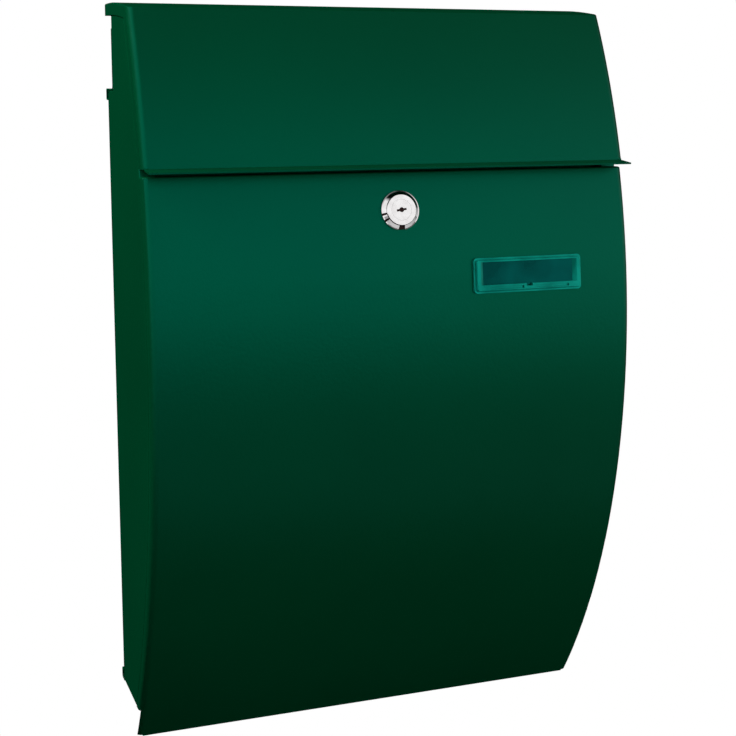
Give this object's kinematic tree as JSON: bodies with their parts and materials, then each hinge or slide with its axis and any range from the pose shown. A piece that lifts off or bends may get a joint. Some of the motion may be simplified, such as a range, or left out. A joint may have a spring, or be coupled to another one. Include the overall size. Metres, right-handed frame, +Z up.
{
  "type": "wall mounted mailbox",
  "caption": "Wall mounted sheet-metal mailbox with a bowed front: lift-up lid over a letter slot, and a drop-down door with a cam lock and a name holder.",
  "frame": {"origin": "centre of the wall screw pattern, on the back panel's rear face", "axes": "+X to the right seen from the front, +Y into the wall, +Z up"},
  "size_m": [0.311, 0.1315, 0.4701],
  "materials": {
    "green_coat": "satin powder coat",
    "zinc_steel": "zinc plated",
    "lock_chrome": "polished",
    "black_rubber": "matte",
    "teal_plastic": "translucent moulded",
    "clear_pane": "clear moulded"
  },
  "bodies": {
    "box": {"back_panel": "green_coat", "left_side_wall": "green_coat", "right_side_wall": "green_coat", "bottom_panel": "green_coat", "upper_standoff_rail": "green_coat", "lower_standoff_rail": "green_coat", "slot_hood": "green_coat", "strike_rail": "green_coat", "lid_bumpers": "black_rubber", "lid_hinge_body_leaves": "zinc_steel", "lid_hinge_pins": "zinc_steel", "door_hinge_body_leaves": "zinc_steel", "door_hinge_pins": "zinc_steel"},
    "lid": {"lid_panel": "green_coat", "lid_hinge_lid_leaves": "zinc_steel"},
    "door": {"door_panel": "green_coat", "door_hinge_door_leaves": "zinc_steel", "lock_housing": "lock_chrome", "lock_washer": "zinc_steel", "lock_nut": "zinc_steel", "name_holder": "teal_plastic", "name_window": "clear_pane", "name_holder_clips": "zinc_steel"},
    "lock_core": {"lock_plug": "lock_chrome", "lock_cam": "zinc_steel", "cam_screw": "zinc_steel"}
  },
  "joints": [
    {"name": "lid_hinge", "type": "hinge", "parent": "box", "child": "lid", "pos_m": [0, -0.0185, 0.2374], "axis": [-1, 0, 0], "range_deg": [0, 80]},
    {"name": "door_hinge", "type": "hinge", "parent": "box", "child": "door", "pos_m": [0, -0.04086, -0.206], "axis": [1, 0, 0], "range_deg": [0, 105]},
    {"name": "lock_turn", "type": "hinge", "parent": "door", "child": "lock_core", "pos_m": [0, -0.11298, 0.1237], "axis": [0, -0.9799, 0.1993], "range_deg": [0, 90]}
  ]
}
